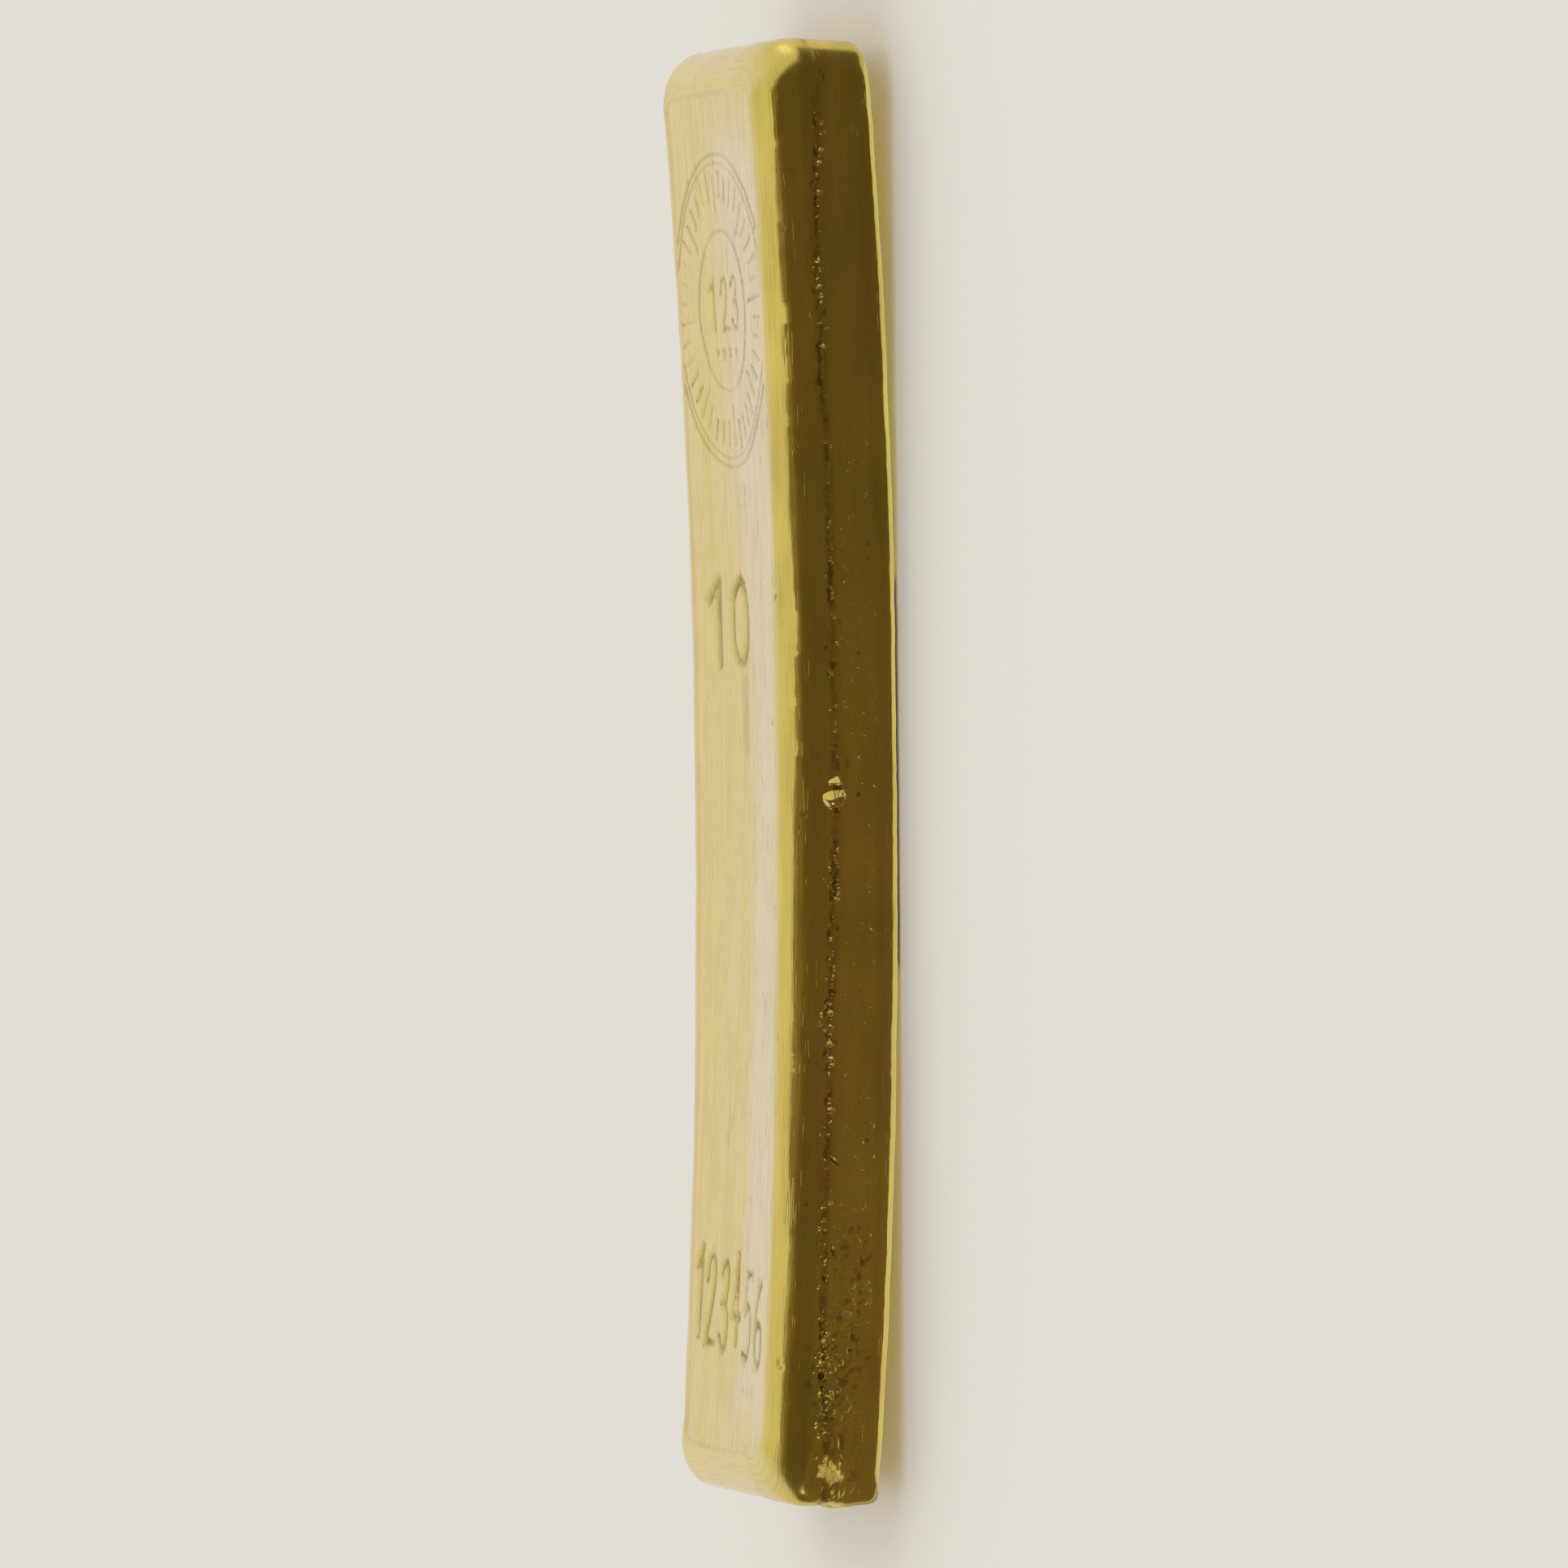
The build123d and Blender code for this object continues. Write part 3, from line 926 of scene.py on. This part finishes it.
class Maker:
    """Builds one shader tree."""

    def __init__(self, tree):
        self.tree = tree
        tree.nodes.clear()

    def node(self, kind, settings=None, sockets=None, out=0):
        """Adds a node, with its settings first and then its sockets' values or links. Gives one output."""
        node = self.tree.nodes.new(kind)
        for name, value in (settings or {}).items():
            if name == "stops":
                for element, (place, level) in zip(node.color_ramp.elements, value):
                    element.position, element.color = place, (level, level, level, 1)
            else:
                setattr(node, name, value)
        for key, value in (sockets or {}).items():
            if isinstance(value, Signal):
                self.tree.links.new(value.socket, node.inputs[key])
            else:
                node.inputs[key].default_value = value
        return Signal(self, node.outputs[out]) if node.outputs else None

    def blend(self, share, first, second):
        """Mix of two colours."""
        return self.node("ShaderNodeMix", {"data_type": "RGBA"}, {"Factor": share, 6: first, 7: second}, 2)

    def tinted(self, shade, factors):
        """A colour with its red, green and blue each multiplied."""
        return self.node("ShaderNodeVectorMath", {"operation": "MULTIPLY"}, {0: shade, 1: factors})

    def stretched(self, place, scale, turn=0.0):
        """A place with its axes scaled, after a turn about Z."""
        sockets = {"Vector": place, "Rotation": (0, 0, turn), "Scale": scale}
        return self.node("ShaderNodeMapping", None, sockets)

    def cloud(self, place, scale, detail=2.0, rough=0.5):
        """Soft noise from 0 to 1."""
        sockets = {"Vector": place, "Scale": scale, "Detail": detail, "Roughness": rough}
        return self.node("ShaderNodeTexNoise", None, sockets)

    def ramp(self, value, low, high, first=0.0, last=1.0):
        """A value passed through a ramp, from a first level at one place to a last one at another."""
        return self.node("ShaderNodeValToRGB", {"stops": ((low, first), (high, last))}, {0: value})

    def mask(self, name):
        return self.node("ShaderNodeAttribute", {"attribute_name": name}, out=2)

    def hairlines(self, place, turn, long, fine, thin):
        """Fine scratches along one direction."""
        return self.cloud(self.stretched(place, (long, fine, 1), turn), 1.0, 1.0).threads(1.0 / thin)

    def streaks(self, place, turn, long, fine, low, high):
        """Soft streaks along one direction, from 0 to 1."""
        return self.ramp(self.cloud(self.stretched(place, (long, fine, 1), turn), 1.0, 3.0, 0.6), low, high)

    def surface(self, kind, sockets):
        """Ends the tree with a shader."""
        shader = self.node(kind, None, sockets)
        self.node("ShaderNodeOutputMaterial", None, {"Surface": shader})


def rgba(value):
    return (*value, 1.0)


def times(shade, factors):
    """A colour setting with its red, green and blue each multiplied, up to 1."""
    return rgba([min(c * f, 1.0) for c, f in zip(shade, factors)])


def new_material(name):
    """A material and the maker of its tree."""
    material = bpy.data.materials.new(name)
    material.use_nodes = True
    return material, Maker(material.node_tree)


def gold_material(finish):
    """Cast gold: wiped face with a painted pale sheen, deeper skin on rim and walls with painted bands of
    light and shade, painted shade in the punched marks, grey streaks, dirt in the pits, and handling
    scratches.
    """
    material, maker = new_material("cast_gold_worn")
    lay = maker.node("ShaderNodeUVMap", {"uv_map": "grain"})
    spot = maker.node("ShaderNodeTexCoord", out="Object")
    dirt, face, punched, grey_streak = (maker.mask(name) for name in ("dirt", "face", "punched", "grey_streak"))
    pale, coarse, wall, worn, tone_and_shade = (maker.mask(name) for name in ("pale", "rough", "wall", "worn", "tone_and_shade"))

    # Clouds, streaks and grain
    patch = maker.cloud(spot, 90.0, 3.0, 0.55)
    grit = maker.cloud(spot, 1500.0, 2.0, 0.6)
    kept = maker.ramp(maker.cloud(spot, 160.0, 3.0, 0.6), 0.40, 0.62)
    brushed = maker.streaks(lay, 0.0, 22, 900, 0.35, 0.70)
    drift = maker.streaks(lay, 0.03, 30, 160, 0.35, 0.65)
    bands = maker.streaks(lay, 0.02, 14, 330, 0.42, 0.68)
    crumb = maker.cloud(maker.stretched(spot, (1.0, 1.0, 0.8)), 2100.0, 3.0, 0.6)
    ticks = maker.cloud(maker.stretched(lay, (2600, 700, 1)), 1.0, 1.0)

    # Scratches: straight ones in five directions, rubbed ones on the face, and curls on the wall
    fine = maker.hairlines(lay, 0.02, 60, 3200, 0.035)
    long = maker.hairlines(lay, -0.03, 14, 1500, 0.018)
    aslant = maker.hairlines(lay, 0.14, 40, 1300, 0.016)
    crossed = maker.hairlines(lay, -0.22, 45, 1100, 0.014)
    scuffs = maker.hairlines(lay, 1.15, 90, 700, 0.012)
    lines = fine * 0.6 + long * kept + aslant * kept * 0.8
    lines = (lines + crossed * (1.0 - kept) * 0.7 + scuffs * kept * 0.5).held()
    rubbed = maker.hairlines(lay, 0.05, 60, 900, 0.014) * maker.ramp(maker.cloud(spot, 330.0), 0.50, 0.60)
    bits = maker.ramp(maker.cloud(spot, 1100.0, 1.0), 0.52, 0.60)
    curls = maker.cloud(spot, 420.0).threads(20.0) * bits * wall

    # Colour of the wiped face, with a painted pale sheen near its near edge and on the upper rim
    wiped = maker.blend(drift, rgba(finish.face), times(finish.face, (0.98, 1.01, 1.35)))
    for share, factors in (
        (patch * 0.6, (1.0, 0.96, 0.80)),
        (pale * (0.6 + 0.4 * brushed), (1.0, 1.13, 1.96)),
        (brushed * 0.35, (0.96, 0.97, 0.80)),
        (bands * 0.75 * (1.0 - pale), (0.90, 0.94, 0.62)),
        # darker grey along the two grey streaks
        (grey_streak, (0.60, 0.60, 0.72)),
    ):
        wiped = maker.blend(share, wiped, times(finish.face, factors))

    # Colour of the skin, then of both with their scratches, painted shade in the punched marks, and dirt
    skin = maker.blend(brushed, times(finish.skin, (1.02, 1.0, 1.15)), times(finish.skin, (0.95, 0.97, 0.85)))
    skin = maker.blend(maker.ramp(patch, 0.38, 0.62) * 0.8, skin, times(finish.skin, (0.92, 1.0, 0.9)))
    # Darker and lighter copies of the skin, mixed by random mottling and by the painted bands of light and
    # shade
    skin = maker.blend(tone_and_shade, maker.tinted(skin, (0.84, 0.83, 0.86)), maker.tinted(skin, (1.12, 1.11, 1.12)))
    metal = maker.blend(face, skin, wiped)
    for share, shade, factors in (
        (rubbed * (0.15 + 0.55 * pale), finish.face, (0.50, 0.46, 0.50)),
        (lines * 0.22, finish.skin, (0.5, 0.48, 0.4)),
        # Punched marks painted darker the deeper they are cut: painted shade in them
        ((punched * (0.65 + 0.35 * kept)).held(), finish.skin, (0.50, 0.60, 0.45)),
        ((maker.ramp(crumb, 0.40, 0.55, 1.0, 0.0) * coarse * 0.45).held(), finish.skin, (0.6, 0.52, 0.5)),
    ):
        metal = maker.blend(share, metal, times(shade, factors))
    soiled = maker.blend((dirt * (0.55 + grit * 0.5)).held(), metal, rgba(finish.grime))

    rough = 0.10 + face * 0.10 + worn * 0.12 + brushed * 0.04 + lines * 0.08
    rough = rough + coarse * 0.10 + dirt * 0.12 + curls * 0.25
    height = patch * 0.012 + (brushed * 0.002 - lines * 0.006) * (0.6 + face) + curls * 0.06 - rubbed * 0.01
    height = height + coarse * (crumb * 0.07 + ticks * 0.03) + grit * 0.002
    bump = maker.node("ShaderNodeBump", None, {"Strength": 1.0, "Distance": 0.001, "Height": height})
    sockets = {"Base Color": soiled, "Metallic": 1.0, "Roughness": rough, "Normal": bump}
    maker.surface("ShaderNodeBsdfPrincipled", sockets)
    return material


# Operators


class CastIngot(bpy.types.Operator):
    """Build the cast bar with its casting line, rim, dish and punched marks"""

    bl_idname = "ingot.cast_bar"
    bl_label = "Cast Bar"

    def execute(self, context):
        scene = context.scene
        points, faces, lay, masks = build_bar(scene.ingot_form, scene.ingot_marks)
        bar = mesh_object("ingot_bar", points, faces)
        mesh = bar.data
        for name, values in masks.items():
            attribute = mesh.attributes.new(name, "FLOAT", "POINT")
            attribute.data.foreach_set("value", values.astype(np.float32))
        corner_points = np.zeros(len(mesh.loops), int)
        mesh.loops.foreach_get("vertex_index", corner_points)
        grain = mesh.uv_layers.new(name="grain")
        grain.data.foreach_set("uv", (lay[corner_points] * MM).astype(np.float32).ravel())
        mesh.materials.append(gold_material(scene.gold_finish))
        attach(bar, "root")
        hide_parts("ingot")
        self.report({"INFO"}, f"{len(mesh.polygons)} faces")
        return {"FINISHED"}


# Studio


def mirror_card(name, rows, shade, strength=1.0, fall=0.0):
    """A glowing card through rows of points, seen by mirror rays only, which paints a reflection into the
    metal and can darken towards the stamp end.
    """
    width = len(rows[0])
    corners = (0, 1, width + 1, width)
    starts = [k * width + j for k in range(len(rows) - 1) for j in range(width - 1)]
    faces = [tuple(start + corner for corner in corners) for start in starts]
    card = mesh_object(name, np.array([p for row in rows for p in row]), faces)
    material, maker = new_material(name)
    along = maker.node("ShaderNodeSeparateXYZ", None, {0: maker.node("ShaderNodeTexCoord", out="Object")})
    tint = maker.blend((0.5 - along * 6.0).held(), times(shade, [1 - fall] * 3), times(shade, [1 + fall] * 3))
    maker.surface("ShaderNodeEmission", {"Color": tint, "Strength": strength})
    card.data.materials.append(material)
    for ray in ("camera", "diffuse", "transmission", "shadow", "volume_scatter"):
        setattr(card, f"visible_{ray}", False)


def dome_rows(radius, heights, left, right):
    """Rows of points on a dome round the bar, between edges given as pairs of height and turn.

    Both are in degrees. Turns count from the near side towards the stamp end.
    """
    lift, rows = 0.0004, []
    for height in np.linspace(*heights, 17):
        ends = [np.interp(height, *zip(*edge)) for edge in (left, right)]
        level, turns = radians(height), np.radians(np.linspace(*ends, 33))
        out, up = radius * cos(level), radius * sin(level)
        rows.append([(out * sin(t), -out * cos(t), lift + up) for t in turns])
    return rows


def floor_rows(radius):
    """Rows of points on the floor before the near side, from close to the wall outwards."""
    inner = [(x, -0.0208 - 0.0025 * (x / 0.08) ** 2) for x in np.linspace(-0.078, 0.076, 41)]
    bend = [(0.0025 + 0.0040 * smooth(0.5, 1.2, t), t) for t in np.linspace(0.1, 1.8, 8)]
    corner = [(0.0765 + r * sin(t), -0.0210 - r * cos(t)) for r, t in bend]
    inner = [(-0.0795, -0.0190)] * 8 + inner + corner
    shares, turns = (0, 0.12, 0.5, 0.88, 1), (-110, -60, 0, 60, 106)
    close = np.radians(np.interp(np.linspace(0, 1, len(inner)), shares, turns))
    apart, lift = 0.026, 0.0003
    middle = [(x + apart * sin(t), y - apart * cos(t)) for (x, y), t in zip(inner, close)]
    far = np.radians(np.linspace(-100, 52, len(inner)))
    outer = [(radius * sin(t), -radius * cos(t)) for t in far]
    return [[(x, y, lift) for x, y in row] for row in (inner, middle, outer)]


def lay_floor(shade):
    """A large sheet of pale paper under the bar."""
    half, down = 6.0, -0.0002
    corners = np.array([(-half, -half, down), (half, -half, down), (half, half, down), (-half, half, down)])
    floor = mesh_object("studio_floor", corners, [(0, 1, 2, 3)])
    paper, maker = new_material("pale_paper")
    sockets = {"Base Color": rgba(shade), "Roughness": 0.9, "Specular IOR Level": 0.0}
    maker.surface("ShaderNodeBsdfPrincipled", sockets)
    floor.data.materials.append(paper)


def light_studio(scene, shade):
    """Even white light, which looks like the pale paper from the camera, in mirrors and through glass."""
    world = bpy.data.worlds.new("studio_light")
    scene.world = world
    world.use_nodes = True
    maker = Maker(world.node_tree)
    rays = ("Is Camera Ray", "Is Glossy Ray", "Is Transmission Ray")
    camera, glossy, through = (maker.node("ShaderNodeLightPath", out=ray) for ray in rays)
    shade = maker.blend((camera + glossy + through).held(), (1, 1, 1, 1), rgba(shade))
    light = maker.node("ShaderNodeBackground", None, {"Color": shade, "Strength": 1.0})
    maker.node("ShaderNodeOutputWorld", None, {"Surface": light})


def hang_cards(setup):
    """Glowing cards seen only in mirrors, which paint reflections into the metal: dark ones that the near
    side mirrors, small bright ones that paint highlights on its bead and corners, and a pale one under the
    bar.
    """
    radius = 0.8
    left, right = ((0, -110), (50, -55), (77, -30)), ((0, 54), (25, 38), (55, 24), (77, 17))
    # Painted dark reflections in the near side, lighter towards the pour end
    mirror_card("floor_dark_reflection", floor_rows(radius), setup.flag, 1.08, 0.2)
    mirror_card("tall_dark_reflection", dome_rows(radius, (0, 60), left, right), setup.flag)
    mirror_card("upper_dark_reflection", dome_rows(radius, (60, 77), left, right), setup.upper_dark_reflection)
    # Painted highlights on the bead, the corners and the beaten pour corner, and a painted pale reflection
    # under the bar
    mirror_card("side_glint", dome_rows(0.7, (0, 16), ((0, 80),), ((0, 112),)), setup.floor, 1.6)
    mirror_card("low_glint", dome_rows(0.6, (2, 15), ((0, -55),), ((0, -39),)), setup.floor, 2.2)
    under = [[(x, y, 0.0001) for x in (-0.079, 0.079)] for y in (-0.032, 0.012)]
    mirror_card("under_reflection", under, setup.floor)


def aim_camera(scene, elevation, distance):
    """The camera, with the long lens and the slight roll of the photo."""
    image_width, focal_width, sensor = 1932, 14590.1, 36.0
    place = Vector((0.0136, -distance * cos(elevation), distance * sin(elevation) + 0.0076))
    aim = Vector((-0.001486, 0.0, 0.007061))
    roll = radians(-0.581)
    ahead = (aim - place).normalized()
    right = ahead.cross(Vector((1, 0, 0))).normalized()
    up = right.cross(ahead)
    turned_right = cos(roll) * right + sin(roll) * up
    turned_up = cos(roll) * up - sin(roll) * right
    lens = bpy.data.cameras.new("camera")
    lens.sensor_fit = "AUTO"
    lens.sensor_width = sensor
    lens.lens = focal_width / image_width * sensor
    lens.clip_start, lens.clip_end = 0.01, 50.0
    camera = bpy.data.objects.new("camera", lens)
    scene.collection.objects.link(camera)
    axes = Matrix((turned_right, turned_up, -ahead)).transposed().to_4x4()
    camera.matrix_world = Matrix.Translation(place) @ axes
    scene.camera = camera


class SetStudio(bpy.types.Operator):
    """Lay the floor and set up the light, the cards that paint reflections into the metal, and the camera"""

    bl_idname = "ingot.set_studio"
    bl_label = "Set Studio"

    def execute(self, context):
        scene = context.scene
        setup = scene.ingot_studio
        lay_floor(setup.floor)
        light_studio(scene, setup.floor)
        hang_cards(setup)
        aim_camera(scene, setup.elevation, setup.distance)
        scene.view_settings.view_transform = "Standard"
        return {"FINISHED"}


# Add-on


class IngotPanel(bpy.types.Panel):
    """Settings and steps of the cast bar"""

    bl_idname = "VIEW3D_PT_cast_ingot"
    bl_label = "Cast Ingot"
    bl_space_type = "VIEW_3D"
    bl_region_type = "UI"
    bl_category = "Ingot"

    def draw(self, context):
        scene = context.scene
        for group in (scene.ingot_form, scene.ingot_marks, scene.gold_finish, scene.ingot_studio):
            box = self.layout.box()
            for name in group.__annotations__:
                box.prop(group, name)
        for operator in (CastIngot, SetStudio):
            self.layout.operator(operator.bl_idname)


GROUPS = {
    "ingot_form": IngotForm,
    "ingot_marks": IngotMarks,
    "gold_finish": GoldFinish,
    "ingot_studio": StudioSetup,
}
CLASSES = (*GROUPS.values(), CastIngot, SetStudio, IngotPanel)


def register():
    for cls in CLASSES:
        bpy.utils.register_class(cls)
    for name, group in GROUPS.items():
        setattr(bpy.types.Scene, name, PointerProperty(type=group))


def unregister():
    for name in GROUPS:
        delattr(bpy.types.Scene, name)
    for cls in reversed(CLASSES):
        bpy.utils.unregister_class(cls)


def main():
    register()
    bpy.ops.ingot.cast_bar()
    bpy.ops.ingot.set_studio()
    bpy.context.view_layer.update()


if __name__ == "__main__":
    main()
